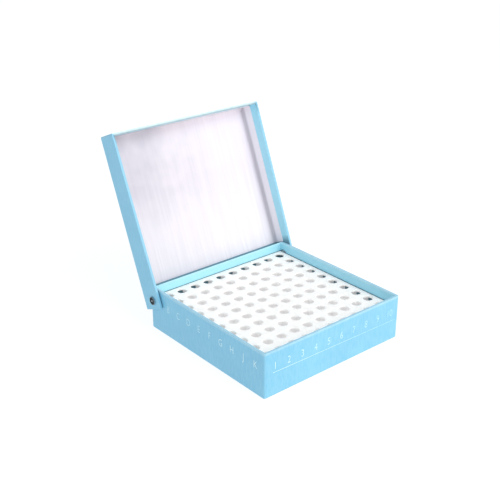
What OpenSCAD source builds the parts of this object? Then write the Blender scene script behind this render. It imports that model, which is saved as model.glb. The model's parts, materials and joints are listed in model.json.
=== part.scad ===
// Cryogenic storage box: a rigid set-up box of wrapped board with a riveted
// flip-top lid, and a card insert with places for one hundred small tubes.
//
// Frame: millimetres, +Z up, the origin at the centre of the underside.
// The printed front faces -Y, and the hinge is at the back, towards +Y.
// The lid is designed closed, in box coordinates, and swung open for rest.

/* [Base] */
// Outer width of the square base
base_w = 130; // [120:1:150]
// Height of the base, from its underside to its rim
base_h = 34.5; // [32:0.5:50]
// Radius of the outer upright corners
corner_r = 1.2; // [0.8:0.1:2]

/* [Board and paper] */
// Thickness of the grey board
board_t = 1.5; // [1.2:0.1:1.8]
// Thickness of the blue wrap, the liners and the bottom sheet
paper_t = 0.25; // [0.15:0.05:0.3]
// Depth to which the wrap is turned down inside the base
base_turn_in = 15; // [8:1:20]
// Width of the wrap turned under the base
base_turn_under = 12; // [6:1:20]
// Depth to which the wrap is turned in round the lid's rim
lid_turn_in = 7.5; // [4:0.5:10]
// Depth to which the wrap is turned in at the panel's rear edge
lid_rear_turn_in = 17; // [8:0.5:25]

/* [Lid] */
// Gap between the base walls and the lid flanges
lid_gap = 0.6; // [0.5:0.1:1]
// Height of the lid flanges, over the panel's thickness
lid_h = 19.5; // [15:0.5:24]
// Angle from closed to fully open, where the panel leans behind the base
lid_open_angle = 112.6; // [90:0.1:113]

/* [Hinge] */
// Distance of the rivets in front of the base's back face
hinge_inset = 6.2; // [5.5:0.1:7]
// Distance of the rivets below the panel's inner face
hinge_drop = 9.85; // [9:0.05:10.5]
// Gap between the closed panel and the base's rim
rim_gap = 0.65; // [0.4:0.05:1]
// Distance that the panel's rear edge lies behind the base's back face
lid_overhang = 0.6; // [0.4:0.1:0.7]
// Radius of the rivets' shanks
shank_r = 1.5; // [1.2:0.1:1.8]
// Radius of the rivets' domed heads
head_r = 3.2; // [2.8:0.1:3.6]
// Height of the rivets' domed heads
head_h = 1.3; // [0.9:0.1:1.6]

/* [Insert] */
// Tube places along each side
places = 10; // [10:1:10]
// Distance from one tube hole to the next
pitch = 12.35; // [11.5:0.05:12.4]
// Diameter of the tube holes
hole_d = 7.4; // [6:0.1:9]
// Distance of the plate's upper face below the rim
plate_drop = 7.7; // [6:0.1:12]
// Thickness of the plate
plate_t = 1.5; // [1:0.1:2]
// Gap between the plate's edges and the walls
plate_gap = 1; // [0.4:0.1:1.2]
// Thickness of the divider strips
strip_t = 0.8; // [0.6:0.1:1]

/* [Hidden] */
row_divider_names = [for (i = [1:places - 1]) str("row_divider_", i)];
column_divider_names = [for (i = [1:places - 1]) str("column_divider_", i)];

$fn = 64;
overcut = 1;

blue = [0.52, 0.78, 0.91];
blue_sheet = [0.45, 0.70, 0.84];
white_card = [0.97, 0.97, 0.97];
white_paper = [0.95, 0.94, 0.97];
grey_board = [0.60, 0.58, 0.54];
tape = [0.80, 0.70, 0.52];
nickel = [0.75, 0.75, 0.76];

// Base levels and half widths, from the underside up and from the outside in
wall_t = board_t + 2 * paper_t;
base_half = base_w / 2;
board_half = base_half - paper_t;
board_inner_half = board_half - board_t;
base_inner_half = base_half - wall_t;
board_bottom = 2 * paper_t;
floor_top = board_bottom + board_t;
liner_top = floor_top + paper_t;
sheet_margin = 2;
turn_in_bottom = base_h - base_turn_in;

// Paper tape over the folded corners of the boards, let into the board
stay_t = 0.15;
stay_leg = 12;
stay_margin = 3;

// Hinge axis, and the radius to which the base's rear rim is cut back
lid_inner_top = base_h + rim_gap;
hinge_y = base_half - hinge_inset;
hinge_z = lid_inner_top - hinge_drop;
relief_gap = 0.25;
relief_r = hinge_drop - relief_gap;

// Closed lid, in box coordinates
lid_inner_half = base_half + lid_gap;
lid_half = lid_inner_half + wall_t;
lid_top = lid_inner_top + wall_t;
lid_rim = lid_top - lid_h;
lid_rear = base_half + lid_overhang;

// Hinge hardware: the rivets are fixed to the base, and the lid turns on them
running_gap = 0.05;
hole_r = shank_r + running_gap;
washer_r = 3.5;
washer_t = 0.4;
clinch_r = 2.4;
clinch_h = 0.7;
spacer_r = 4;
clinch_face = base_inner_half - washer_t - clinch_h;
head_face = lid_half + running_gap;

// Insert
plate_half = base_inner_half - plate_gap;
plate_top = base_h - plate_drop;
plate_bottom = plate_top - plate_t;
notch_half = 4.5;
notch_depth = plate_half - clinch_face + 0.4;
strip_half = base_inner_half - 0.1;
slot_w = strip_t + 0.1;
slot_level = (liner_top + plate_bottom) / 2;
first_place = -(places - 1) / 2 * pitch;
first_strip = first_place + pitch / 2;

// Where tube place i (0 to places - 1) lies along X or Y
function place_at(i) = first_place + i * pitch;

// Where divider i (1 to places - 1) lies along X or Y
function strip_at(i) = first_strip + (i - 1) * pitch;

// ---------------------------------------------------------------- shapes

// Upright block of a square box, from level low to level high, with rounded corners
module square_block(half, low, high, r = 0) {
    if (r > 0) {
        translate([0, 0, low])
            linear_extrude(height = high - low)
                rounded_rectangle(-half, half, -half, half, r, r);
    } else {
        translate([-half, -half, low])
            cube([2 * half, 2 * half, high - low]);
    }
}

// Rectangle from its limits, with one radius at the front and one at the back
module rounded_rectangle(left, right, front, rear, front_r, rear_r) {
    difference() {
        translate([left, front])
            square([right - left, rear - front]);
        corner_cut(left, front, 1, 1, front_r);
        corner_cut(right, front, -1, 1, front_r);
        corner_cut(left, rear, 1, -1, rear_r);
        corner_cut(right, rear, -1, -1, rear_r);
    }
}

// What is cut from a rectangle's corner at (x, y) to round it; inwards is +1 or -1
module corner_cut(x, y, inwards_x, inwards_y, r) {
    if (r > 0) {
        difference() {
            translate([x, y])
                square(2 * r, center = true);
            translate([x + inwards_x * r, y + inwards_y * r])
                circle(r);
        }
    }
}

// Block of the lid's plan: half width, front limit -half, rear limit, levels
module lid_block(half, rear, low, high, r = 0) {
    translate([0, 0, low])
        linear_extrude(height = high - low)
            rounded_rectangle(-half, half, -half, rear, r, 0);
}

// Cylinder along X, centred on the hinge axis, between two places along X
module on_hinge(r, x_from, x_to) {
    translate([x_from, hinge_y, hinge_z])
        rotate([0, 90, 0])
            cylinder(r = r, h = x_to - x_from);
}

// The base's rear rim, cut back to an arc so that the lid's panel clears it
module with_rear_relief(r) {
    rear_reach = base_half - hinge_y + overcut;
    rim_reach = base_h - hinge_z + overcut;
    difference() {
        children();
        difference() {
            translate([-base_w, hinge_y, hinge_z + r / 2])
                cube([2 * base_w, rear_reach, rim_reach - r / 2]);
            on_hinge(r, -base_w - overcut, base_w + overcut);
        }
    }
}

// Lays a closed-lid shape back about the hinge axis to the open rest position
module lid_open() {
    translate([0, hinge_y, hinge_z])
        rotate([-lid_open_angle, 0, 0])
            translate([0, -hinge_y, -hinge_z])
                children();
}

// Mirrors a shape made for the right-hand side to the left when side is -1
module on_side(side) {
    if (side < 0) {
        mirror([1, 0, 0])
            children();
    } else {
        children();
    }
}

// ---------------------------------------------------------------- base

// Outline of the folded base board, before the tape recesses and rivet holes
module base_board_shape() {
    difference() {
        with_rear_relief(relief_r - paper_t)
            square_block(board_half, board_bottom, base_h - paper_t, corner_r - paper_t);
        square_block(board_inner_half, floor_top, base_h + overcut);
    }
}

// Four L-shaped tapes, flush with the board's outer face round its corners
module base_stays_shape() {
    low = board_bottom + stay_margin;
    high = base_h - 2 * stay_margin;
    corner = board_half - stay_leg;
    intersection() {
        difference() {
            square_block(board_half, low, high, corner_r - paper_t);
            square_block(board_half - stay_t, low - overcut, high + overcut, corner_r - paper_t - stay_t);
        }
        for (x = [-1, 1], y = [-1, 1]) {
            translate([x * (corner + stay_leg), y * (corner + stay_leg), (low + high) / 2])
                cube([2 * stay_leg, 2 * stay_leg, high - low + overcut], center = true);
        }
    }
}

module base_board() {
    color(grey_board)
        difference() {
            base_board_shape();
            base_stays_shape();
            on_hinge(hole_r, -base_w, base_w);
        }
}

module base_corner_stays() {
    color(tape)
        difference() {
            base_stays_shape();
            on_hinge(hole_r, -base_w, base_w);
        }
}

// Blue paper: outside, over the rim, down the inside, and turned under
module base_wrap() {
    window = board_half - base_turn_under;
    color(blue)
        difference() {
            with_rear_relief(relief_r)
                square_block(base_half, paper_t, base_h, corner_r);
            base_board_shape();
            square_block(base_inner_half, floor_top, base_h + overcut);
            square_block(board_inner_half, floor_top, turn_in_bottom);
            square_block(window, 0, board_bottom + overcut);
            on_hinge(hole_r, -base_w, base_w);
        }
}

// Sheet on the underside; its middle is pressed up between the turned-under edges
module base_bottom_sheet() {
    window = board_half - base_turn_under;
    color(blue_sheet)
        union() {
            square_block(base_half - sheet_margin, 0, paper_t, corner_r);
            square_block(window, 0, board_bottom);
        }
}

module base_floor_liner() {
    color(white_paper)
        square_block(board_inner_half - 0.1, floor_top, liner_top);
}

// ---------------------------------------------------------------- insert

// Plate of round tube holes, notched at the rear for the clinched rivets
module insert_plate() {
    color(white_card)
        difference() {
            square_block(plate_half, plate_bottom, plate_top, corner_r);
            for (i = [0:places - 1], j = [0:places - 1]) {
                translate([place_at(i), place_at(j), plate_bottom - overcut])
                    cylinder(d = hole_d, h = plate_t + 2 * overcut);
            }
            for (side = [-1, 1]) {
                translate([side * plate_half, hinge_y, plate_bottom])
                    cube([2 * notch_depth, 2 * notch_half, 4 * plate_t], center = true);
            }
        }
}

// Strip along X with half-depth slots, open at its top (upward) or at its foot
module slotted_strip(upward) {
    slot_low = upward ? slot_level : liner_top - overcut;
    slot_high = upward ? plate_bottom + overcut : slot_level;
    difference() {
        translate([-strip_half, -strip_t / 2, liner_top])
            cube([2 * strip_half, strip_t, plate_bottom - liner_top]);
        for (i = [1:places - 1]) {
            translate([strip_at(i) - slot_w / 2, -strip_t, slot_low])
                cube([slot_w, 2 * strip_t, slot_high - slot_low]);
        }
    }
}

// Divider between two rows of places, across the box
module row_divider(i) {
    color(white_card)
        translate([0, -strip_at(i), 0])
            slotted_strip(true);
}

// Divider between two columns of places, from front to back
module column_divider(i) {
    color(white_card)
        translate([strip_at(i), 0, 0])
            rotate([0, 0, 90])
                slotted_strip(false);
}

// ---------------------------------------------------------------- hinge

// Domed head outside the lid flange, shank, and the end clinched inside the base
module rivet(side) {
    dome_r = (head_r * head_r + head_h * head_h) / (2 * head_h);
    color(nickel)
        on_side(side) {
            on_hinge(shank_r, clinch_face, head_face);
            on_hinge(clinch_r, clinch_face, clinch_face + clinch_h);
            intersection() {
                on_hinge(head_r, head_face, head_face + head_h);
                translate([head_face + head_h - dome_r, hinge_y, hinge_z])
                    rotate([0, 90, 0])
                        rotate_extrude()
                            dome_profile(dome_r);
            }
        }
}

// Right half of a circle, turned about the rivet's axis to make its dome
module dome_profile(r) {
    intersection() {
        circle(r);
        translate([0, -r])
            square([r, 2 * r]);
    }
}

// Flat ring on the hinge axis
module hinge_ring(side, r, x_from, x_to) {
    color(nickel)
        on_side(side)
            difference() {
                on_hinge(r, x_from, x_to);
                on_hinge(hole_r, x_from - overcut, x_to + overcut);
            }
}

module washer(side) {
    hinge_ring(side, washer_r, base_inner_half - washer_t, base_inner_half);
}

module spacer(side) {
    hinge_ring(side, spacer_r, base_half, lid_inner_half - running_gap);
}

// ---------------------------------------------------------------- lid

// Folded lid board: a panel with three flanges, before recesses and rivet holes
module lid_board_shape() {
    inner = lid_inner_half + paper_t;
    difference() {
        lid_block(lid_half - paper_t, lid_rear - paper_t, lid_rim + paper_t, lid_top - paper_t, corner_r - paper_t);
        lid_block(inner, lid_rear + overcut, lid_rim, lid_inner_top + paper_t);
    }
}

// Two L-shaped tapes round the front corners of the lid board
module lid_stays_shape() {
    low = lid_rim + stay_margin;
    high = lid_top - stay_margin;
    half = lid_half - paper_t;
    intersection() {
        difference() {
            lid_block(half, lid_rear, low, high, corner_r - paper_t);
            lid_block(half - stay_t, lid_rear, low - overcut, high + overcut, corner_r - paper_t - stay_t);
        }
        for (x = [-1, 1]) {
            translate([x * half, -half, (low + high) / 2])
                cube([2 * stay_leg, 2 * stay_leg, high - low + overcut], center = true);
        }
    }
}

// The part of the lid's inner skin that the white liner covers
module lid_liner_zone() {
    rear = lid_rear - lid_rear_turn_in;
    lid_block(lid_inner_half + paper_t, rear, lid_rim + lid_turn_in, lid_inner_top + paper_t);
}

// The open space inside the lid
module lid_cavity() {
    lid_block(lid_inner_half, lid_rear + overcut, lid_rim - overcut, lid_inner_top);
}

module lid_board() {
    color(grey_board)
        lid_open()
            difference() {
                lid_board_shape();
                lid_stays_shape();
                on_hinge(hole_r, -base_w, base_w);
            }
}

module lid_corner_stays() {
    color(tape)
        lid_open()
            lid_stays_shape();
}

// Blue paper: outside, round the rim and the rear edge, and turned in
module lid_wrap() {
    color(blue)
        lid_open()
            difference() {
                lid_block(lid_half, lid_rear, lid_rim, lid_top, corner_r);
                lid_board_shape();
                lid_liner_zone();
                lid_cavity();
                on_hinge(hole_r, -base_w, base_w);
            }
}

// White paper inside the panel and down the flanges to the turned-in wrap
module lid_liner() {
    color(white_paper)
        lid_open()
            difference() {
                lid_liner_zone();
                lid_cavity();
                on_hinge(hole_r, -base_w, base_w);
            }
}

base_board();
base_corner_stays();
base_wrap();
base_bottom_sheet();
base_floor_liner();
insert_plate();
for (i = [1:places - 1]) {
    row_divider(i);
    column_divider(i);
}
rivet(-1);  // left_rivet
rivet(1);  // right_rivet
washer(-1);  // left_washer
washer(1);  // right_washer
spacer(-1);  // left_spacer
spacer(1);  // right_spacer
lid_board();
lid_corner_stays();
lid_wrap();
lid_liner();
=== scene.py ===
"""Looks of the cryogenic storage box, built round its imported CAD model.

Lengths are metres in the CAD frame: +Z up, the printed front faces -Y, the hinge is at the back.
The lid's pieces are shaped shut, square to the axes, and then swung open to the rest pose.
"""

import json
import math

import bmesh
import bpy
from mathutils import Matrix, Vector, noise


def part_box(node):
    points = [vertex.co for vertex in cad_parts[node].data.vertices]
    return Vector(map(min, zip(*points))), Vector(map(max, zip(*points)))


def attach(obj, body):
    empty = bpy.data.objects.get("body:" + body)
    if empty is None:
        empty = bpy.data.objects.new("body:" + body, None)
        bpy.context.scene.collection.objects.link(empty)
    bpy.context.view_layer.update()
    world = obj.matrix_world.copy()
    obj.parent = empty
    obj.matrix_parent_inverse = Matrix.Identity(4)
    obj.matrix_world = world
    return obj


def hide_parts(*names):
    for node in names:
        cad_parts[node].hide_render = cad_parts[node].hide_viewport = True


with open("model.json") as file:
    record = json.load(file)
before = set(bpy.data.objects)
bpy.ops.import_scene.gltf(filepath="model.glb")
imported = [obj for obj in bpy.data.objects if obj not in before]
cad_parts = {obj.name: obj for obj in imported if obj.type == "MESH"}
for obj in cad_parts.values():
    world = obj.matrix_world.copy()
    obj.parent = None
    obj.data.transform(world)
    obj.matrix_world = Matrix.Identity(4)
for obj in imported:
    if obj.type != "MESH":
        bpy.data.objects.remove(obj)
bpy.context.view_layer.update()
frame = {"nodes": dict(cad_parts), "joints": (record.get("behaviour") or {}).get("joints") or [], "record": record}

MM = 0.001

# ------------------------------------------------------------------ driving sizes of the looks
# folded board and paper
TURN_IN = 15 * MM  # wrap turned down inside the base
TURN_UNDER = 12 * MM  # wrap turned under the base
CORNER_R = 1.2 * MM  # upright outer corners
CREASE_R = 0.35 * MM  # folds seen from inside
LINER_CREASE_R = 1.5 * MM  # softer folds of the lid's liner
FOLD_R = 0.6 * MM  # wrapped edges of the board
FOLD_REACH = 1.05 * FOLD_R  # height of a rim's rounded fold, with a margin
CORNER_CUTS, CREASE_CUTS, FOLD_CUTS = 5, 3, 4  # facets across each kind of rounding
STRAIGHT = 0.99  # least share of an edge's length along Z, for an upright edge
SHARP_TURN = math.radians(50)  # least angle between an unrounded edge's two faces
FLAT = 0.9995  # least part of a face's normal along one axis, for a flat face
SKIN = 0.9  # thickness of the paper skins, against the CAD's paper
NEAR = 0.1 * MM  # a point this near to a face counts as lying on it
TINY = 0.01 * MM  # allowance for rounding, between points that should agree
ON_PLANE = 1e-7  # a vertex this near to a cutting plane lies on it
WELD = 0.002 * MM  # points this near to each other become one

# base
RELIEF_GAP = 0.25 * MM  # rear rim of the base, inside the panel's sweep
RELIEF_REACH = 3.6 * MM  # how far in from the rear face the rim is cut down
RELIEF_CUTS = 6  # facets of the cut-down rim
SEAM_INSET = 1.6 * MM  # overlap of the front and back wrap, from the corner
SEAM_EDGE = 0.05 * MM  # width over which the paper steps down at a seam
SEAM_FROM = 0.8 * MM  # the step begins this far outside the inner faces
SEAM_STEP = 0.09 * MM  # height of the step
SHADE_EDGE = 0.15 * MM  # height over which the painted shade on the walls' paper sets in at the plate

# lid
FLARE = 1.25 * MM  # outward lean of the lid's side flanges at the front
FLARE_POWER = 0.8  # how soon the lean grows from the hinge to the front
FLARE_FROM, FLARE_OVER = 0.55, 0.42  # part of the half width that stays square, and that bends
LEAN_CUTS_X = 0.6, 0.7, 0.8, 0.9  # where the panel bends, as parts of its half width
LEAN_CUTS_Y, LEAN_CUTS_Z = 12, 5  # parts that the flanges bend in
FRONT_SHADE_WIDE, FRONT_SHADE_HIGH = 0.6 * FOLD_R, 0.5 * FOLD_R  # reach of the painted shade inside the front rim
LINER_REAR = 0.6 * MM  # how far the liner's skin goes past the CAD liner's rear edge
CURL_REACH = 2.4 * MM  # how far from its cut edge the liner lifts
CURL = 0.22 * MM  # how far the cut edge lifts
CURL_UNEVEN = 0.3  # share of the lift that comes and goes along the edge
CURL_WAVES = 60  # how often it does, per metre
CURL_CUTS_X, CURL_CUTS_Y = 24, 30  # parts that the liner bends in
CURL_CUT_Z, CURL_CUTS_Z = 0.5 * MM, 6  # and upwards from its cut edge
LINER_GAP = 0.04 * MM  # lift of the rest of the liner on the flanges
PANEL_GAP = 0.03 * MM  # lift of the liner on the panel
PANEL_NEAR = 0.4 * MM  # liner this near to the panel counts as lying on it

# wear, painted highlight, painted shade and painted light, from 0 to 1, and how far they reach
BASE_RIM_WEAR_AND_SHEEN = 0.34  # how pale the base's rims are, for rubbed wear and a painted highlight
BASE_BAND = 2.2 * MM  # the base's rim, down to which its wear and painted highlight reach and its relief is full
LID_SIDE_WEAR_AND_SHEEN = 0.08  # how pale the rims of the lid's side flanges are, for wear and a painted highlight
LID_FRONT_WEAR_AND_SHEEN = 1.0  # partly the wear of the edge that is gripped to open the box, partly a painted highlight
LID_BAND = 0.9 * MM  # how far the wear and painted highlight reach up from the lid's rim
CORNER_WEAR = 0.03  # how pale the other rounded edges are
REAR_SHADE = 0.70  # painted shade at the hidden rear edge of the lid's panel
FRONT_SHADE = 0.6  # painted shade along the inner side of the lid's front rim
CELL_SHADE = 0.8  # painted shade on the walls' paper below the plate
CREASE_SHADE = 0.40  # how dark the painted shade in the liner's side creases is
SIDE_PAINTED_LIGHT = 0.78  # share of the painted bounce light on the inner side walls, against the brighter inner back wall
FLANGE_PAINTED_LIGHT = 0.8  # how much painted light brightens the liner on the side flanges, against the panel
PLATE_GLOW = 0.15  # painted glow of the plate, an emission standing in for the light that it scatters
CARD_GLOW = 0.115  # painted glow of the card, an emission standing in for the light it passes on from cell to cell

# insert plate
PLACES = 10  # tube holes along each side
PITCH = 12.35 * MM
HOLE_R = 3.7 * MM
HOLE_SIDES = 48  # a multiple of 8, so that a cell's corners are among its points
PUNCH_R = 0.16 * MM  # softened edges of the holes
PUNCH_REACH = 0.9 * MM  # flat ring of faces kept round each hole
PLATE_EDGE_R = 0.12 * MM  # softened outer edge of the plate
NOTCH_HALF = 4.5 * MM  # half length of the notches beside the rivets
NOTCH_LEFT = 0.03 * MM  # what a notch leaves of the margin

# hinge hardware
LATHE_SIDES, ARC_CUTS = 64, 8  # facets round the axis, and of each arc of an outline
HEAD_R = 3.2 * MM  # rivet's head
HEAD_GAP = 0.05 * MM  # between the head and the lid
LIP_SOFT = 0.12 * MM  # softened edge of the head beside the lid
RIM_DOWN = 0.45 * MM  # middle of the head's rounded rim, below the top
GROOVE_R = 2.9 * MM  # groove in the head, from the button to here
GROOVE_DEEP = 0.75 * MM  # below the top
GROOVE_SOFT = 0.15 * MM  # softened sides of the groove
BUTTON_R = 0.75 * MM  # button in the middle of the head
BUTTON_DOME = (0.05 * MM, 0), (0.10 * MM, 0.5), (0.25 * MM, 0.85)  # below the top, part of its radius
SHANK_R = 1.5 * MM
ROLL_R = 0.35 * MM  # rolled-over end inside the base
ROLL_AT = 2.05 * MM  # middle of the roll, from the axis
BORE_R = 1.1 * MM
BORE_DEEP = 2.4 * MM  # to the tip of the bore's cone
CONE_DEEP = 0.4 * MM
RING_HOLE_R = 1.55 * MM
RING_SOFT = 0.08 * MM  # softened edges of the washers and spacers
WASHER_R = 3.5 * MM
SPACER_R = 4 * MM

# printed index
INK_Z = 23 * MM  # middle of the index
INK_TALL = 5.6 * MM
INK_NARROW = 0.78  # width of the characters, against the plain typeface
INK_THIN = 0.09 * MM  # taken off all round the strokes
INK_T = 0.03 * MM
CAPITAL = 0.70  # height of a capital, against the size of its type
ROW_LETTERS = "ABCDEFGHJK"  # from the hinge to the front
LINE_Z = 16.95 * MM  # middle of the printed line, at the middle of the front
LINE_ENDS = 7.5 * MM, 3.4 * MM  # from the left and from the right corner
LINE_FALL = 2.1 * MM  # the line isn't printed quite level
LINE_T = 0.32 * MM
LINE_WAVER, LINE_WAVES = 0.04 * MM, 400  # how far it wavers, and how often per metre
LINE_CUTS = 40  # parts that it wavers in

# stage
FLOOR_HALF = 6.0
FLOOR_Z = -0.2 * MM  # just under the object, so that the two don't flicker
CAMERA_AZIMUTH, CAMERA_ELEVATION = -40.06, 24.51
CAMERA_TARGET = Vector((45.1, 80.7, 26.0)) * MM
CAMERA_DISTANCE = 756.9 * MM
CAMERA_LENS = 65.4
LIGHT_AIM = Vector((0.0, 0.0, 0.03))

# ------------------------------------------------------------------ sizes from the frame
hinge_joint = frame["joints"][0]
hinge = Vector(hinge_joint["pos_m"])
swing = math.radians(hinge_joint["range_deg"][1])
to_shut = Matrix.Translation(hinge) @ Matrix.Rotation(swing, 4, "X") @ Matrix.Translation(-hinge)
to_open = to_shut.inverted()


def shut_box(node):
    """Lowest and highest corner of a lid node, with the lid shut."""
    points = [to_shut @ v.co for v in frame["nodes"][node].data.vertices]
    return tuple(Vector([pick(p[i] for p in points) for i in range(3)]) for pick in (min, max))


base_low, base_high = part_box("base_wrap")
board_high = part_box("base_board")[1]
plate_low, plate_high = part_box("insert_plate")
washer_low, washer_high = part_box("right_washer")
spacer_low, spacer_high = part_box("right_spacer")
rivet_low, rivet_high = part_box("right_rivet")
lid_low, lid_high = shut_box("lid_wrap")
liner_low, liner_high = shut_box("lid_liner")

paper = base_high.x - board_high.x
inner_half = washer_high.x
wall = base_high.x - inner_half
floor_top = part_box("base_floor_liner")[1].z - paper
seam_x = base_high.x - SEAM_INSET
lid_half = lid_high.x
lid_inner_half = lid_half - wall
lid_inner_top = lid_high.z - wall
liner_rear = liner_high.y + LINER_REAR
plate_reach = PLACES * PITCH / 2


# ------------------------------------------------------------------ node helpers
def add(tree, kind, inputs=None, **settings):
    """A shader node with its settings, its inputs given as values or as sockets to link."""
    made = tree.nodes.new("ShaderNode" + kind)
    for key, value in settings.items():
        setattr(made, key, value)
    for key, value in (inputs or {}).items():
        if isinstance(value, bpy.types.NodeSocket):
            tree.links.new(value, made.inputs[key])
        else:
            made.inputs[key].default_value = value
    return made


def mix_colour(tree, factor, a, b):
    """Colour a turned into colour b by factor."""
    return add(tree, "Mix", {0: factor, 6: a, 7: b}, data_type="RGBA").outputs[2]


def noise_of(tree, place, scale, detail=3.0, roughness=0.55):
    """Noise value from 0 to 1 at a number of features per metre."""
    inputs = {"Vector": place, "Scale": scale, "Detail": detail, "Roughness": roughness}
    return add(tree, "TexNoise", inputs).outputs[0]


def remap(tree, value, low, high, to_low=0.0, to_high=1.0):
    """Value between low and high turned into a value between to_low and to_high, and clamped."""
    inputs = {"Value": value, "From Min": low, "From Max": high, "To Min": to_low, "To Max": to_high}
    return add(tree, "MapRange", inputs).outputs[0]


def stretched(tree, place, scale, turn=(0.0, 0.0, 0.0)):
    """Coordinates turned and then scaled, for streaks and fibres."""
    turned = add(tree, "Mapping", {"Vector": place, "Rotation": turn}).outputs[0]
    return add(tree, "Mapping", {"Vector": turned, "Scale": scale}).outputs[0]


def new_material(name):
    """An empty material with its node tree, its shader and the object's own coordinates."""
    material = bpy.data.materials.new(name)
    material.use_nodes = True
    tree = material.node_tree
    shader = tree.nodes["Principled BSDF"]
    place = tree.nodes.new("ShaderNodeTexCoord").outputs["Object"]
    return material, tree, shader, place


def marked(tree, name):
    """Amount from 0 to 1 that a piece's vertices store under a name, and 0 on other pieces."""
    return add(tree, "Attribute", attribute_name=name).outputs["Fac"]


def link(tree, socket, shader, name):
    """Drives a shader's input by a socket."""
    tree.links.new(socket, shader.inputs[name])


def bump(tree, shader, height, strength, distance):
    """Roughens a shader's surface by a height from 0 to 1 over a distance."""
    made = add(tree, "Bump", {"Height": height, "Strength": strength, "Distance": distance})
    link(tree, made.outputs[0], shader, "Normal")


# ------------------------------------------------------------------ materials
def blue_laminate():
    """Blue paper with a satin film: cloudy tone, fine fibres under the film, folds painted pale for rubbed wear
    and a painted highlight, painted bounce light inside and painted shade where marked.
    """
    material, tree, shader, place = new_material("blue_laminate")
    blue, deep, pale = (0.210, 0.570, 0.785, 1), (0.185, 0.525, 0.750, 1), (0.80, 0.96, 0.98, 1)
    # the paler blue is painted bounce light inside, the near-black blue is painted shade
    inner, dark = (0.43, 0.84, 0.97, 1), (0.035, 0.11, 0.16, 1)
    clouds = remap(tree, noise_of(tree, place, 28), 0.3, 0.7)
    fibres = noise_of(tree, stretched(tree, place, (900, 900, 220)), 1.0, 4.0)
    tone = mix_colour(tree, clouds, blue, deep)
    tone = mix_colour(tree, remap(tree, fibres, 0.35, 0.75, 0.0, 0.12), tone, pale)
    # painted bounce light: the inner skins are painted a paler blue
    tone = mix_colour(tree, marked(tree, "inside"), tone, inner)
    # wear and painted highlight: the marked rims are painted pale, unevenly
    rubbed = remap(tree, noise_of(tree, place, 160), 0.3, 0.65, 0.65, 1.0)
    wear_and_sheen = add(tree, "Math", {0: marked(tree, "fold"), 1: rubbed}, operation="MULTIPLY").outputs[0]
    tone = mix_colour(tree, wear_and_sheen, tone, pale)
    # painted shade: the paper is painted dark blue where it is marked as lying in shade
    tone = mix_colour(tree, marked(tree, "painted_shade"), tone, dark)
    link(tree, tone, shader, "Base Color")
    link(tree, remap(tree, fibres, 0.3, 0.7, 0.34, 0.46), shader, "Roughness")
    shader.inputs["Coat Weight"].default_value = 0.18
    shader.inputs["Coat Roughness"].default_value = 0.22
    peel = noise_of(tree, place, 2600, 2.0)
    bump(tree, shader, peel, 0.10, 0.02 * MM)
    return material


def white_liner():
    """Uncoated white paper: a lavender cast, painted light brighter towards the hinge and on the side flanges,
    painted shade deeper to the upper left and in the side creases, and faint streaks along the lid.
    """
    material, tree, shader, place = new_material("white_liner")
    lit, shade, warm = (0.89, 0.82, 0.89, 1), (0.44, 0.42, 0.49, 1), (0.91, 0.83, 0.88, 1)
    # the brighter tone is painted light, the darkest is painted shade in the creases
    brighter_lit, painted_dark = (0.99, 0.94, 0.98, 1), (0.20, 0.17, 0.22, 1)
    turn = (swing, 0.0, 0.0)
    streaks = noise_of(tree, stretched(tree, place, (420, 16, 120), turn), 1.0, 5.0, 0.6)
    blotches = noise_of(tree, place, 38, 2.0)
    split = add(tree, "SeparateXYZ", {0: place}).outputs
    left = remap(tree, split["X"], -lid_half, 0.4 * lid_half, 1.0, 0.0)
    up = remap(tree, split["Z"], lid_half, 2 * lid_half, 0.3, 1.0)
    deeper = add(tree, "Math", {0: left, 1: up}, operation="MULTIPLY").outputs[0]
    # painted light and shade: brighter towards the hinge, darker towards the far end
    tone = mix_colour(tree, remap(tree, split["Z"], 0.5 * lid_half, 1.4 * lid_half), brighter_lit, lit)
    # painted shade deepening to the upper left
    tone = mix_colour(tree, deeper, tone, shade)
    tone = mix_colour(tree, remap(tree, streaks, 0.35, 0.75, 0.0, 0.22), tone, shade)
    tone = mix_colour(tree, remap(tree, blotches, 0.4, 0.7, 0.0, 0.5), tone, warm)
    # painted light on the side flanges
    tone = mix_colour(tree, marked(tree, "inside"), tone, brighter_lit)
    # painted shade in the side creases
    tone = mix_colour(tree, marked(tree, "painted_shade"), tone, painted_dark)
    link(tree, tone, shader, "Base Color")
    shader.inputs["Roughness"].default_value = 0.62
    grain = noise_of(tree, stretched(tree, place, (1900, 700, 1500), turn), 1.0, 3.0)
    bump(tree, shader, grain, 0.16, 0.03 * MM)
    return material


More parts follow.
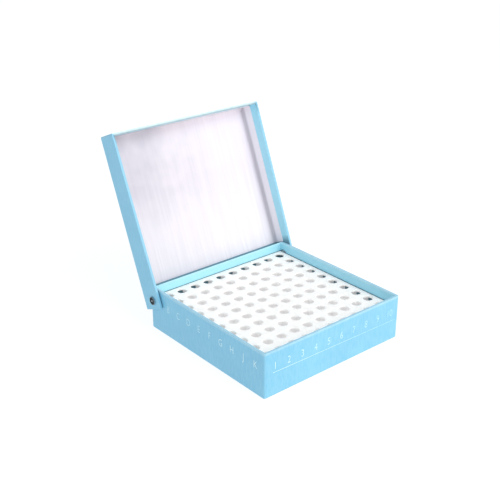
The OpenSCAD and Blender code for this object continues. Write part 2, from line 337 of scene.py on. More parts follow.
def white_sheet(name, tone, fibre_scale, rough, depth, glow):
    """White board that light soaks through: slight mottling, fine fibres, a few darker specks and a painted glow.
    """
    material, tree, shader, place = new_material(name)
    # painted light: the sheet glows by emission, standing in for light passed through it
    shader.inputs["Emission Color"].default_value = tone
    shader.inputs["Emission Strength"].default_value = glow
    shader.inputs["Subsurface Weight"].default_value = 0.85
    shader.inputs["Subsurface Radius"].default_value = (1.0, 0.98, 0.96)
    shader.inputs["Subsurface Scale"].default_value = depth
    dull = tuple(0.90 * c for c in tone[:3]) + (1,)
    mottle = noise_of(tree, place, 120, 3.0)
    fibres = noise_of(tree, stretched(tree, place, fibre_scale), 1.0, 4.0, 0.65)
    shade = mix_colour(tree, remap(tree, mottle, 0.4, 0.7, 0.0, 0.35), tone, dull)
    shade = mix_colour(tree, remap(tree, fibres, 0.5, 0.8, 0.0, 0.5), shade, dull)
    specks = noise_of(tree, place, 1500, 1.0)
    grit = tuple(0.62 * c for c in tone[:3]) + (1,)
    shade = mix_colour(tree, remap(tree, specks, 0.76, 0.80, 0.0, 0.6), shade, grit)
    link(tree, shade, shader, "Base Color")
    link(tree, remap(tree, mottle, 0.3, 0.7, rough - 0.05, rough + 0.05), shader, "Roughness")
    bump(tree, shader, fibres, 0.14, 0.02 * MM)
    return material


def grey_board():
    """Recycled grey board: dark and light fibres in a warm grey."""
    material, tree, shader, place = new_material("grey_board")
    grey, dark, light = (0.36, 0.34, 0.31, 1), (0.20, 0.19, 0.18, 1), (0.52, 0.50, 0.46, 1)
    fibres = noise_of(tree, stretched(tree, place, (900, 260, 900)), 1.0, 5.0, 0.7)
    flecks = noise_of(tree, place, 700, 4.0, 0.7)
    tone = mix_colour(tree, remap(tree, fibres, 0.35, 0.7), grey, light)
    tone = mix_colour(tree, remap(tree, flecks, 0.60, 0.68), tone, dark)
    link(tree, tone, shader, "Base Color")
    shader.inputs["Roughness"].default_value = 0.85
    bump(tree, shader, fibres, 0.4, 0.05 * MM)
    return material


def paper_tape():
    """Gummed paper tape: light brown with long fibres."""
    material, tree, shader, place = new_material("paper_tape")
    kraft, straw = (0.52, 0.38, 0.22, 1), (0.66, 0.52, 0.33, 1)
    fibres = noise_of(tree, stretched(tree, place, (800, 800, 160)), 1.0, 5.0, 0.7)
    link(tree, mix_colour(tree, remap(tree, fibres, 0.35, 0.7), kraft, straw), shader, "Base Color")
    shader.inputs["Roughness"].default_value = 0.7
    bump(tree, shader, fibres, 0.2, 0.03 * MM)
    return material


def nickel():
    """Nickel plate with a faint turned grain, dull patches, and a painted dark reflection and shade in the
    grooves.
    """
    material, tree, shader, place = new_material("nickel")
    bright, dull, painted_dark = (0.40, 0.46, 0.50, 1), (0.26, 0.30, 0.33, 1), (0.010, 0.022, 0.030, 1)
    patches = noise_of(tree, place, 500, 3.0)
    grain = noise_of(tree, stretched(tree, place, (6000, 900, 900)), 1.0, 2.0)
    tone = mix_colour(tree, remap(tree, patches, 0.4, 0.7), bright, dull)
    # painted dark reflection and shade: near-black metal in the marked grooves
    tone = mix_colour(tree, marked(tree, "painted_shade"), tone, painted_dark)
    link(tree, tone, shader, "Base Color")
    link(tree, remap(tree, patches, 0.3, 0.7, 0.16, 0.30), shader, "Roughness")
    shader.inputs["Metallic"].default_value = 1.0
    bump(tree, shader, grain, 0.06, 0.01 * MM)
    return material


def white_ink():
    """Printed white, thin enough in places for the blue to show, most of all far from the corner."""
    material, tree, shader, place = new_material("white_ink")
    full, thin = (0.72, 0.92, 0.96, 1), (0.32, 0.68, 0.86, 1)
    cover = noise_of(tree, place, 650, 3.0)
    split = add(tree, "SeparateXYZ", {0: place}).outputs
    along = add(tree, "Math", {0: split["X"], 1: split["Y"]}, operation="ADD").outputs[0]
    far = remap(tree, along, -1.8 * inner_half, -0.2 * inner_half, 0.0, 0.6)
    gaps = remap(tree, cover, 0.45, 0.75, 0.0, 0.6)
    thinned = add(tree, "Math", {0: far, 1: gaps}, operation="ADD", use_clamp=True).outputs[0]
    link(tree, mix_colour(tree, thinned, full, thin), shader, "Base Color")
    link(tree, remap(tree, cover, 0.3, 0.7, 0.35, 0.5), shader, "Roughness")
    return material


def studio_floor():
    """Plain white sweep with a very slight unevenness."""
    material, tree, shader, place = new_material("studio_floor")
    clouds = noise_of(tree, place, 3.0, 2.0)
    light, dark = (0.25, 0.245, 0.24, 1), (0.23, 0.225, 0.22, 1)
    tone = mix_colour(tree, clouds, light, dark)
    link(tree, tone, shader, "Base Color")
    shader.inputs["Roughness"].default_value = 0.9
    shader.inputs["Specular IOR Level"].default_value = 0.1
    shader.inputs["Emission Color"].default_value = (1, 1, 1, 1)
    shader.inputs["Emission Strength"].default_value = 0.86
    return material


BLUE = blue_laminate()
LINER = white_liner()
PLATE = white_sheet("white_plate", (0.99, 0.925, 0.89, 1), (700, 700, 300), 0.48, 3.0 * MM, PLATE_GLOW)
CARD = white_sheet("white_card", (0.94, 0.945, 0.95, 1), (1200, 1200, 260), 0.62, 2.0 * MM, CARD_GLOW)
GREY = grey_board()
TAPE = paper_tape()
NICKEL = nickel()
INK = white_ink()


# ------------------------------------------------------------------ mesh helpers
def new_piece(name, bm, material, body, replaces=(), angle=40):
    """Makes a piece from a bmesh, rides it on its body and hides the CAD nodes that it replaces."""
    mesh = bpy.data.meshes.new(name)
    bm.to_mesh(mesh)
    bm.free()
    mesh.materials.append(material)
    mesh.shade_smooth()
    mesh.set_sharp_from_angle(angle=math.radians(angle))
    piece = bpy.data.objects.new(name, mesh)
    bpy.context.scene.collection.objects.link(piece)
    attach(piece, body)
    if replaces:
        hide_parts(*replaces)
    return piece


def thicken(piece):
    """Gives a sheet of paper its thickness, away from its visible side, and evens out its shading."""
    solid = piece.modifiers.new("paper", "SOLIDIFY")
    solid.thickness = SKIN * paper
    solid.offset = -1.0
    solid.use_even_offset = True
    even_shading(piece)


def even_shading(piece):
    """Keeps flat faces flat where they meet rounded folds."""
    weighted = piece.modifiers.new("shading", "WEIGHTED_NORMAL")
    weighted.keep_sharp = True


def slice_at(bm, axis, places):
    """Cuts a mesh by planes across an axis, so that sheets can end or bend there."""
    across = Vector([float(i == axis) for i in range(3)])
    for place in places:
        parts = bm.verts[:] + bm.edges[:] + bm.faces[:]
        bmesh.ops.bisect_plane(bm, geom=parts, dist=ON_PLANE, plane_co=across * place, plane_no=across)


def keep_faces(bm, wanted):
    """Deletes the faces whose centre is not wanted."""
    gone = [f for f in bm.faces if not wanted(f.calc_center_median())]
    bmesh.ops.delete(bm, geom=gone, context="FACES")


def steps(low, high, count):
    """Places that part a length into count equal parts, without its ends."""
    return [low + (high - low) * i / count for i in range(1, count)]


def tray(low, high, wall_t, floor_t, mouth_up=True, rear_open=False):
    """Solid tray with four walls, or three and an open rear; its mouth is up or down."""
    floor_z, mouth_z = (low.z, high.z) if mouth_up else (high.z, low.z)
    inner_z = floor_z + math.copysign(floor_t, mouth_z - floor_z)
    rear_y = high.y if rear_open else high.y - wall_t
    outer_sides = (low.x, high.x), (low.y, high.y), (floor_z, mouth_z)
    inner_sides = (low.x + wall_t, high.x - wall_t), (low.y + wall_t, rear_y), (inner_z, mouth_z)
    bm = bmesh.new()
    shells = []
    for xs, ys, zs in (outer_sides, inner_sides):
        corners = [(i, j, k) for i in (0, 1) for j in (0, 1) for k in (0, 1)]
        shells.append({(i, j, k): bm.verts.new((xs[i], ys[j], zs[k])) for i, j, k in corners})
    outer, inner = shells
    ring = [(0, 0), (1, 0), (1, 1), (0, 1)]
    for shell in shells:
        bm.faces.new([shell[(*c, 0)] for c in ring])
    for a, b in zip(ring, ring[1:] + ring[:1]):
        if rear_open and a == (1, 1):
            bm.faces.new([outer[(*a, 0)], outer[(*b, 0)], inner[(*b, 0)], inner[(*a, 0)]])
            for c in (a, b):
                bm.faces.new([outer[(*c, 0)], outer[(*c, 1)], inner[(*c, 1)], inner[(*c, 0)]])
            continue
        for shell in shells:
            bm.faces.new([shell[(*a, 0)], shell[(*b, 0)], shell[(*b, 1)], shell[(*a, 1)]])
        bm.faces.new([outer[(*a, 1)], outer[(*b, 1)], inner[(*b, 1)], inner[(*a, 1)]])
    bmesh.ops.recalc_face_normals(bm, faces=bm.faces)
    return bm


def upright(edge):
    """True for an edge along Z."""
    along = (edge.verts[0].co - edge.verts[1].co).normalized()
    return abs(along.z) > STRAIGHT


def sharp(edge):
    """True for an edge that hasn't been rounded yet."""
    return edge.is_manifold and edge.calc_face_angle() > SHARP_TURN


def round_edges(bm, chosen, radius, segments):
    """Rounds the edges that the rule chooses."""
    edges = [e for e in bm.edges if sharp(e) and chosen(e)]
    bmesh.ops.bevel(
        bm, geom=edges, offset=radius, offset_type="OFFSET", segments=segments,
        profile=0.5, affect="EDGES", clamp_overlap=True,
    )


def rounded_tray(low, high, corner_r, fold_r, crease_r, rear_open=False, **form):
    """Tray of folded board with rounded upright corners, folds and creases."""
    def outer_corner(e):
        return upright(e) and e.is_convex and (e.verts[0].co.y < 0 or not rear_open)

    bm = tray(low, high, rear_open=rear_open, **form)
    round_edges(bm, outer_corner, corner_r, CORNER_CUTS)
    round_edges(bm, lambda e: upright(e) and not e.is_convex, crease_r, CREASE_CUTS)
    round_edges(bm, lambda e: not e.is_convex, crease_r, CREASE_CUTS)
    round_edges(bm, lambda e: e.is_convex, fold_r, FOLD_CUTS)
    return bm


def mark(bm, name, amount):
    """Stores an amount at each vertex, which a material reads by its name."""
    layer = bm.verts.layers.float.new(name)
    for v in bm.verts:
        v[layer] = amount(v)


def inner_painted_light(v):
    """How much painted bounce light the inner side gets: all the way at the front and back, less at the sides."""
    return SIDE_PAINTED_LIGHT if abs(v.co.x) > abs(v.co.y) else 1.0


def mark_folds(bm, rim_z, side_wear_and_sheen, front_wear_and_sheen, inside):
    """Marks the places painted pale, along the rim at rim_z for wear and a painted highlight and on corners for
    wear, and the inner side, which gets painted bounce light.
    """
    def wear_and_sheen(v):
        if abs(v.co.z - rim_z) < FOLD_REACH:
            return side_wear_and_sheen if abs(v.co.x) > abs(v.co.y) else front_wear_and_sheen
        flat = any(max(abs(c) for c in f.normal) > FLAT for f in v.link_faces)
        return 0.0 if flat else CORNER_WEAR

    mark(bm, "fold", wear_and_sheen)
    # the inner skins get the painted bounce light
    mark(bm, "inside", lambda v: inner_painted_light(v) if inside(v.co) else 0.0)


def share(value):
    """A value held between 0 and 1."""
    return min(max(value, 0.0), 1.0)


def move(bm, rule):
    """Moves every vertex to where a rule says."""
    for v in bm.verts:
        v.co = rule(v.co)


# ------------------------------------------------------------------ base
def rim_drop(y):
    """How far the rear rim of the base lies below the front one, to clear the panel."""
    radius = lid_inner_top - hinge.z - RELIEF_GAP
    behind = y - hinge.y
    if behind <= 0:
        return 0.0
    return max(0.0, base_high.z - hinge.z - math.sqrt(max(radius ** 2 - behind ** 2, 0)))


def base_form(co):
    """Lowers the rear rim to its arc, and steps the paper down beside each corner seam."""
    x, y, z = co
    full = base_high.z - BASE_BAND
    z -= share((z - plate_high.z) / (full - plate_high.z)) * rim_drop(y)
    if abs(x) > seam_x + SEAM_EDGE / 2 and abs(y) > inner_half + SEAM_FROM:
        y -= math.copysign(SEAM_STEP, y)
    return Vector((x, y, z))


def in_base(c):
    """True for a point on the inner skin of the base."""
    return max(abs(c.x), abs(c.y)) < inner_half + NEAR and c.z > base_low.z + NEAR


def make_base_wrap():
    """Blue paper: outside, over the rim, down inside, and turned under."""
    room_for_ink = Vector((0, INK_T, 0))
    form = {"wall_t": wall, "floor_t": floor_top - base_low.z}
    bm = rounded_tray(base_low + room_for_ink, base_high, CORNER_R, FOLD_R, CREASE_R, **form)
    slice_at(bm, 2, [base_high.z - BASE_BAND])
    mark_folds(bm, base_high.z, BASE_RIM_WEAR_AND_SHEEN, BASE_RIM_WEAR_AND_SHEEN, in_base)
    window = board_high.x - TURN_UNDER
    lowest = base_high.z - TURN_IN
    slice_at(bm, 2, [lowest, plate_high.z - SHADE_EDGE, plate_high.z])
    slice_at(bm, 0, [-window, window, -seam_x, -seam_x - SEAM_EDGE, seam_x, seam_x + SEAM_EDGE])
    relief_start = base_high.y - RELIEF_REACH
    slice_at(bm, 1, [-window, window] + steps(relief_start, base_high.y - FOLD_R, RELIEF_CUTS))

    def covered(c):
        if in_base(c):
            return c.z > lowest
        return c.z > base_low.z + NEAR or max(abs(c.x), abs(c.y)) > window

    keep_faces(bm, covered)
    # painted shade: the walls' paper below the plate is painted dark
    below = plate_high.z - SHADE_EDGE / 2
    mark(bm, "painted_shade", lambda v: CELL_SHADE * float(v.co.z < below and in_base(v.co)))
    move(bm, base_form)
    piece = new_piece("base_wrap_paper", bm, BLUE, "base", ["base_wrap"])
    thicken(piece)


# ------------------------------------------------------------------ lid
def lid_form(co):
    """Leans the side flanges slightly outwards towards the front, and swings the lid open."""
    x, y, z = co
    depth = share((lid_inner_top - z) / (lid_inner_top - lid_low.z))
    forward = share((hinge.y - y) / (hinge.y - lid_low.y))
    side = share((abs(x) - FLARE_FROM * lid_half) / (FLARE_OVER * lid_half))
    lean = FLARE * depth * forward ** FLARE_POWER * side * side * (3 - 2 * side)
    return to_open @ Vector((x + math.copysign(lean, x), y, z))


def slice_lid(bm):
    """Extra cuts that let the flanges lean smoothly."""
    slice_at(bm, 1, steps(lid_low.y, lid_high.y, LEAN_CUTS_Y))
    slice_at(bm, 2, steps(lid_low.z, lid_inner_top, LEAN_CUTS_Z))
    slice_at(bm, 0, [s * lid_half * k for s in (-1, 1) for k in LEAN_CUTS_X])


def lid_tray(inset, fold_r, crease_r, corner_r):
    """Closed solid of the lid's three-sided tray, drawn in from the outside by inset."""
    edge = Vector((inset, inset, inset))
    form = {"wall_t": wall - 2 * inset, "floor_t": wall - 2 * inset}
    return rounded_tray(
        lid_low + edge, lid_high - edge, corner_r, fold_r, crease_r,
        mouth_up=False, rear_open=True, **form,
    )


def liner_covers(c):
    """True for a point on the lid's inner skin that the liner lies on."""
    return in_cavity(c) and c.y < liner_rear and c.z > liner_low.z


def in_cavity(c):
    """True for a point on the inner skin of the lid."""
    between = abs(c.x) < lid_inner_half + NEAR
    return between and c.y > -lid_inner_half - NEAR and c.z < lid_inner_top + NEAR


def make_lid_board():
    """Grey board of the lid: a panel with three flanges."""
    bm = lid_tray(paper, FOLD_R - paper, CREASE_R, CORNER_R - paper)
    slice_lid(bm)
    move(bm, lid_form)
    even_shading(new_piece("lid_grey_board", bm, GREY, "lid", ["lid_board"]))


def lid_painted_shade(v):
    """Painted shade at the panel's hidden rear edge, and a line of painted shade just inside the front rim."""
    if in_cavity(v.co) and v.co.y > liner_rear - TINY:
        return REAR_SHADE
    front = abs(v.co.y + lid_inner_half) < FRONT_SHADE_WIDE and abs(v.co.x) < lid_inner_half + FOLD_R
    return FRONT_SHADE if front and v.co.z < lid_low.z + FRONT_SHADE_HIGH else 0.0


def make_lid_wrap():
    """Blue paper: outside, round the rim and the rear edge, and turned in."""
    bm = lid_tray(0.0, FOLD_R, CREASE_R, CORNER_R)
    slice_at(bm, 2, [lid_low.z + LID_BAND])
    mark_folds(bm, lid_low.z, LID_SIDE_WEAR_AND_SHEEN, LID_FRONT_WEAR_AND_SHEEN, in_cavity)
    slice_at(bm, 1, [liner_rear])
    slice_at(bm, 2, [liner_low.z])
    slice_lid(bm)
    keep_faces(bm, lambda c: not liner_covers(c))
    # painted shade at the panel's rear edge and just inside the front rim
    mark(bm, "painted_shade", lid_painted_shade)
    move(bm, lid_form)
    piece = new_piece("lid_wrap_paper", bm, BLUE, "lid", ["lid_wrap"])
    thicken(piece)


def liner_lift(co):
    """Lifts the liner's cut edges off the turned-in wrap, a little unevenly."""
    x, y, z = co
    from_edge = max(z - liner_low.z, 0.0)
    curl = max(1 - from_edge / CURL_REACH, 0.0) ** 2
    wave = 1 - CURL_UNEVEN + CURL_UNEVEN * noise.noise(Vector((x, y, 0)) * CURL_WAVES)
    lift = LINER_GAP + CURL * curl * wave
    if z > lid_inner_top - PANEL_NEAR:
        return Vector((x, y, z - PANEL_GAP))
    if abs(x) > abs(y) or y > 0:
        return Vector((x - math.copysign(lift, x), y, z))
    return Vector((x, y + lift, z))


def in_side_crease(c):
    """True for a point in the rounded corner between the panel and a side flange."""
    rounding = LINER_CREASE_R - NEAR / 2
    return abs(c.x) > lid_inner_half - rounding and c.z > lid_inner_top - rounding


def make_lid_liner():
    """White paper inside the panel and down the flanges."""
    bm = lid_tray(0.0, FOLD_R, LINER_CREASE_R, CORNER_R)
    slice_at(bm, 1, [liner_rear] + steps(lid_low.y, lid_high.y, CURL_CUTS_Y))
    slice_at(bm, 2, [liner_low.z + CURL_CUT_Z * k for k in range(CURL_CUTS_Z)])
    slice_at(bm, 0, steps(-lid_half, lid_half, CURL_CUTS_X))
    slice_lid(bm)
    keep_faces(bm, liner_covers)
    # painted shade in the side creases
    mark(bm, "painted_shade", lambda v: CREASE_SHADE * float(in_side_crease(v.co)))
    # painted light on the side flanges
    mark(bm, "inside", lambda v: FLANGE_PAINTED_LIGHT * float(abs(v.co.x) > lid_inner_half - NEAR))
    move(bm, liner_lift)
    move(bm, lid_form)
    piece = new_piece("lid_liner_paper", bm, LINER, "lid", ["lid_liner"], angle=60)
    thicken(piece)


# ------------------------------------------------------------------ insert
def place_at(i):
    """Where row or column i of the holes lies."""
    return (i - (PLACES - 1) / 2) * PITCH


def round_turns(count):
    """Angles that part a circle into count equal parts."""
    return [2 * math.pi * k / count for k in range(count)]


def circle_points(x, y, z, radius):
    """Points of a level circle round a tube hole."""
    turns = round_turns(HOLE_SIDES)
    return [Vector((x + radius * math.cos(t), y + radius * math.sin(t), z)) for t in turns]


def square_point(direction, half):
    """Where a direction from the middle of a square meets its side."""
    return direction * (half / max(abs(direction.x), abs(direction.y)))


def strip_between(bm, ring_a, ring_b):
    """Closed band of faces between two rings of vertices."""
    for k in range(len(ring_a)):
        n = (k + 1) % len(ring_a)
        bm.faces.new([ring_a[k], ring_a[n], ring_b[n], ring_b[k]])


def punched_cell(bm, x, y):
    """One square cell of the plate with its tube hole, whose edges are softened by the punch."""
    top, foot, part = plate_high.z, plate_low.z, 0.3 * PUNCH_R
    edge = [(top, PUNCH_REACH), (top, PUNCH_R), (top - part, part), (top - PUNCH_R, 0.0)]
    edge += [(foot + PUNCH_R, 0.0), (foot, PUNCH_R), (foot, PUNCH_REACH)]
    rings = [[bm.verts.new(p) for p in circle_points(x, y, z, HOLE_R + out)] for z, out in edge]
    for level, at in ((top, 0), (foot, len(rings))):
        middle = Vector((x, y, level))
        corners = []
        for v in (rings[0] if at == 0 else rings[-1]):
            out = square_point(v.co - middle, PITCH / 2)
            corners.append(bm.verts.new(middle + Vector((out.x, out.y, 0))))
        # Known fault: below, the corners land before the last ring, so the underside's band is doubled.
        rings.insert(at, corners)
    for a, b in zip(rings, rings[1:]):
        strip_between(bm, a, b)


def make_insert_plate():
    """White plate with its hundred tube holes, and notches for the clinched rivets."""
    bm = bmesh.new()
    for i in range(PLACES):
        for j in range(PLACES):
            punched_cell(bm, place_at(i), place_at(j))
    frame_plate(bm)
    bmesh.ops.remove_doubles(bm, verts=bm.verts, dist=WELD)
    bmesh.ops.recalc_face_normals(bm, faces=bm.faces)
    piece = new_piece("tube_plate", bm, PLATE, "base", ["insert_plate"], angle=50)
    even_shading(piece)


def frame_plate(bm):
    """The narrow margin of the plate round its hundred cells."""
    reach, half, soft = plate_reach, plate_high.x, PLATE_EDGE_R
    side = [place_at(i) + PITCH / 2 * k for i in range(PLACES) for k in cell_steps()]
    around = [Vector((x, -reach, 0)) for x in side] + [Vector((reach, y, 0)) for y in side]
    around += [Vector((-x, reach, 0)) for x in side] + [Vector((-reach, -y, 0)) for y in side]
    over = [(plate_high.z, 0), (plate_high.z, half - soft), (plate_high.z - soft, half)]
    under = [(plate_low.z + soft, half), (plate_low.z, half - soft), (plate_low.z, 0)]
    rings = [[bm.verts.new(margin_point(p, z, out)) for p in around] for z, out in over + under]
    for a, b in zip(rings, rings[1:]):
        strip_between(bm, a, b)


def margin_point(p, z, out):
    """A point round the cells, at a height z and moved out to a half width, where one is given."""
    q = Vector((p.x, p.y, z))
    if out and abs(p.x) > plate_reach - TINY:
        q.x = math.copysign(margin_at(out, p.y), p.x)
    if out and abs(p.y) > plate_reach - TINY:
        q.y = math.copysign(out, p.y)
    return q


def cell_steps():
    """Places along a cell's side, from -1 up to but not 1, where its ring of points meets it."""
    return [math.tan(math.pi * (2 * k / HOLE_SIDES - 0.25)) for k in range(HOLE_SIDES // 4)]


def margin_at(out, y):
    """Half width of the plate at a place from front to back, with the notch for the rivet."""
    notch = abs(y - hinge.y) < NOTCH_HALF
    return min(out, plate_reach + NOTCH_LEFT) if notch else out


# ------------------------------------------------------------------ hinge hardware
def lathe(name, outline, side, node, groove=None):
    """Turns an outline of (place along X, radius) about the hinge, for the right or left side."""
    turns = round_turns(LATHE_SIDES)
    bm = bmesh.new()
    rings = []
    for x, r in outline:
        if r == 0:
            rings.append([bm.verts.new((side * x, hinge.y, hinge.z))])
            continue
        points = [(side * x, hinge.y + r * math.cos(t), hinge.z + r * math.sin(t)) for t in turns]
        rings.append([bm.verts.new(p) for p in points])
    for a, b in zip(rings, rings[1:]):
        if len(a) == 1 or len(b) == 1:
            tip, ring = (a, b) if len(a) == 1 else (b, a)
            for k in range(LATHE_SIDES):
                bm.faces.new([tip[0], ring[k], ring[(k + 1) % LATHE_SIDES]])
        else:
            strip_between(bm, a, b)
    # painted dark reflection and shade in the head's groove
    if groove:
        mark(bm, "painted_shade", lambda v: float(in_groove(v.co, *groove)))
    bmesh.ops.recalc_face_normals(bm, faces=bm.faces)
    new_piece(name, bm, NICKEL, "base", [node], angle=35)


def in_groove(co, deepest_x, low_r, high_r):
    """True for a point low in a rivet head's groove, where a dark reflection and shade are painted."""
    from_axis = math.hypot(co.y - hinge.y, co.z - hinge.z)
    deep = deepest_x - TINY < abs(co.x) < deepest_x + GROOVE_SOFT + TINY
    return deep and low_r - TINY < from_axis < high_r + TINY


def arc(cx, cr, radius, start, end):
    """Points of an arc in the (X, radius) plane, from one angle to another in degrees."""
    turns = [math.radians(start + (end - start) * k / ARC_CUTS) for k in range(ARC_CUTS + 1)]
    return [(cx + radius * math.cos(t), cr + radius * math.sin(t)) for t in turns]


def make_rivet(name, side, node):
    """Tubular rivet: grooved head with a button outside the lid, and an end rolled over inside."""
    top, inside, face = rivet_high.x, rivet_low.x, lid_half + HEAD_GAP
    button = [(top - down, part * BUTTON_R) for down, part in BUTTON_DOME]
    groove, soft = top - GROOVE_DEEP, GROOVE_SOFT
    ring = [(groove + soft, BUTTON_R), (groove, BUTTON_R + soft)]
    ring += [(groove, GROOVE_R - soft), (groove + soft, GROOVE_R)]
    rim = arc(top - RIM_DOWN, (GROOVE_R + HEAD_R) / 2, (HEAD_R - GROOVE_R) / 2, 270, 450)
    lip = [(face + LIP_SOFT, HEAD_R), (face, HEAD_R - LIP_SOFT), (face, SHANK_R)]
    rolled = [(inside + 2 * ROLL_R, SHANK_R)] + arc(inside + ROLL_R, ROLL_AT, ROLL_R, 0, 180)
    bore = [(inside + ROLL_R, BORE_R), (inside + BORE_DEEP - CONE_DEEP, BORE_R), (inside + BORE_DEEP, 0)]
    outline = button + ring + rim + lip + rolled + bore
    lathe(name, outline, side, node, (groove, BUTTON_R, GROOVE_R))


def make_ring(name, side, node, low, high, radius):
    """Flat ring with softened edges on the hinge axis."""
    hole, soft = RING_HOLE_R, RING_SOFT
    outline = [(low, hole + soft), (low, radius - soft), (low + soft, radius), (high - soft, radius)]
    outline += [(high, radius - soft), (high, hole + soft), (high - soft, hole), (low + soft, hole)]
    outline += outline[:1]
    lathe(name, outline, side, node)


def make_hinge():
    """Rivet, inner washer and spacer on each side."""
    for word, side in (("left", -1), ("right", 1)):
        make_rivet(f"{word}_hinge_rivet", side, f"{word}_rivet")
        make_ring(f"{word}_inner_washer", side, f"{word}_washer", washer_low.x, washer_high.x, WASHER_R)
        make_ring(f"{word}_spacer_ring", side, f"{word}_spacer", spacer_low.x, spacer_high.x, SPACER_R)


# ------------------------------------------------------------------ printed index
def glyph_mesh(bm, text, to_place):
    """Adds one thin printed character or number, laid where to_place puts it."""
    curve = bpy.data.curves.new("glyph", "FONT")
    curve.body = text
    curve.size = INK_TALL / CAPITAL
    curve.align_x = "CENTER"
    curve.extrude = INK_T / 2
    curve.offset = -INK_THIN
    curve.resolution_u = 6
    holder = bpy.data.objects.new("glyph", curve)
    bpy.context.scene.collection.objects.link(holder)
    bpy.context.view_layer.update()
    evaluated = holder.evaluated_get(bpy.context.evaluated_depsgraph_get())
    mesh = bpy.data.meshes.new_from_object(evaluated)
    mesh.transform(to_place @ Matrix.Diagonal((INK_NARROW, 1, 1, 1)))
    bm.from_mesh(mesh)
    bpy.data.meshes.remove(mesh)
    bpy.data.objects.remove(holder)
    bpy.data.curves.remove(curve)


def make_index(name, texts, face):
    """A row of printed marks on one wall, one for each row or column of places."""
    bm = bmesh.new()
    for i, text in enumerate(texts):
        glyph_mesh(bm, text, face(place_at(i)))
    bmesh.ops.remove_doubles(bm, verts=bm.verts, dist=WELD / 2)
    bmesh.ops.recalc_face_normals(bm, faces=bm.faces)
    new_piece(name, bm, INK, "base", angle=20)


def on_front(x):
    """Places a mark on the front wall, upright, facing -Y."""
    stand = Matrix.Rotation(math.radians(90), 4, "X")
    return Matrix.Translation((x, base_low.y + INK_T / 2, INK_Z - INK_TALL / 2)) @ stand


def on_left(y):
    """Places a mark on the left wall, upright, facing -X."""
    stand = Matrix.Rotation(math.radians(-90), 4, "Z") @ Matrix.Rotation(math.radians(90), 4, "X")
    return Matrix.Translation((base_low.x - INK_T / 2, y, INK_Z - INK_TALL / 2)) @ stand


def make_front_line():
    """Thin printed line under the numbers, where the lid's rim comes to when it is shut."""
    left, right = base_low.x + LINE_ENDS[0], base_high.x - LINE_ENDS[1]
    bm = bmesh.new()
    bmesh.ops.create_cube(bm, size=1.0)
    size = Matrix.Diagonal((right - left, INK_T, LINE_T, 1))
    bm.transform(Matrix.Translation(((left + right) / 2, base_low.y + INK_T / 2, LINE_Z)) @ size)
    slice_at(bm, 0, steps(left, right, LINE_CUTS))
    for v in bm.verts:
        v.co.z += LINE_WAVER * noise.noise(v.co * LINE_WAVES) - LINE_FALL / 2 * v.co.x / right
    new_piece("front_line", bm, INK, "base", angle=20)


# ------------------------------------------------------------------ stage
def make_floor():
    """Wide level floor just below the object."""
    bm = bmesh.new()
    bmesh.ops.create_grid(bm, x_segments=2, y_segments=2, size=FLOOR_HALF)
    mesh = bpy.data.meshes.new("floor")
    bm.to_mesh(mesh)
    bm.free()
    mesh.materials.append(studio_floor())
    floor = bpy.data.objects.new("floor", mesh)
    floor.location.z = FLOOR_Z
    bpy.context.scene.collection.objects.link(floor)


def area_light(name, place, width, power, colour):
    """Round softbox at a place, turned towards the middle of the object."""
    data = bpy.data.lights.new(name, "AREA")
    data.shape = "DISK"
    data.size = width
    data.energy = power
    data.color = colour
    lamp = bpy.data.objects.new(name, data)
    lamp.location = place
    lamp.rotation_euler = (LIGHT_AIM - lamp.location).to_track_quat("-Z", "Y").to_euler()
    bpy.context.scene.collection.objects.link(lamp)


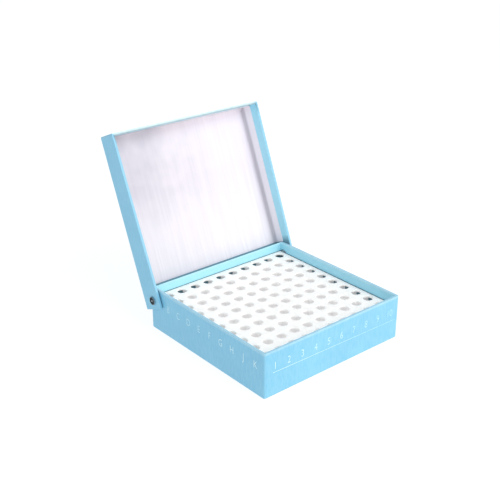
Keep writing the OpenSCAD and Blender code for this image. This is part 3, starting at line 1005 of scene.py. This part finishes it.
def make_world():
    """Soft surround, plain white behind the object."""
    world = bpy.data.worlds.new("studio")
    bpy.context.scene.world = world
    world.use_nodes = True
    tree = world.node_tree
    tree.nodes.clear()
    soft = add(tree, "Background", {"Color": (0.85, 0.95, 1.0, 1), "Strength": 0.62})
    seen = add(tree, "Background", {"Color": (1, 1, 1, 1), "Strength": 1.0})
    ray = tree.nodes.new("ShaderNodeLightPath").outputs["Is Camera Ray"]
    both = add(tree, "MixShader", {0: ray, 1: soft.outputs[0], 2: seen.outputs[0]})
    out = tree.nodes.new("ShaderNodeOutputWorld")
    tree.links.new(both.outputs[0], out.inputs["Surface"])


def make_lights():
    """Main light from above, a warm one from the front right and a weak cool one from the left."""
    area_light("overhead", (0.15, -0.95, 1.05), 1.1, 8.5, (1.0, 0.98, 0.97))
    area_light("front", (0.45, -0.8, 0.35), 0.6, 2.2, (1.0, 0.87, 0.74))
    area_light("left_fill", (-0.9, -0.5, 0.5), 0.8, 0.6, (0.50, 0.75, 1.0))


def make_camera():
    """Camera at the photograph's angle."""
    azimuth, elevation = math.radians(CAMERA_AZIMUTH), math.radians(CAMERA_ELEVATION)
    level = math.cos(elevation)
    back = Vector((math.sin(azimuth) * level, -math.cos(azimuth) * level, math.sin(elevation)))
    data = bpy.data.cameras.new("camera")
    data.sensor_width = 36.0
    data.lens = CAMERA_LENS
    data.clip_start = 0.01
    camera = bpy.data.objects.new("camera", data)
    camera.location = CAMERA_TARGET + back * CAMERA_DISTANCE
    camera.rotation_euler = (-back).to_track_quat("-Z", "Y").to_euler()
    bpy.context.scene.collection.objects.link(camera)
    bpy.context.scene.camera = camera


def dress_cad_nodes():
    """Gives every CAD node the material of its slot."""
    finishes = {"grey_board": GREY, "paper_tape": TAPE, "white_card": CARD, "blue_laminate": BLUE}
    finishes |= {"white_liner": LINER, "white_plate": PLATE, "nickel": NICKEL}
    for part in frame["record"]["subparts"]:
        mesh = frame["nodes"][part["node"]].data
        mesh.materials.clear()
        mesh.materials.append(finishes[part["material_slot"]])


make_camera()
make_world()
make_lights()
make_floor()
dress_cad_nodes()
make_base_wrap()
make_lid_board()
make_lid_wrap()
make_lid_liner()
make_insert_plate()
make_hinge()
make_index("column_numbers", [str(n + 1) for n in range(PLACES)], on_front)
make_index("row_letters", reversed(ROW_LETTERS), on_left)
make_front_line()

scene = bpy.context.scene
scene.view_settings.view_transform = "Standard"
scene.view_settings.look = "None"
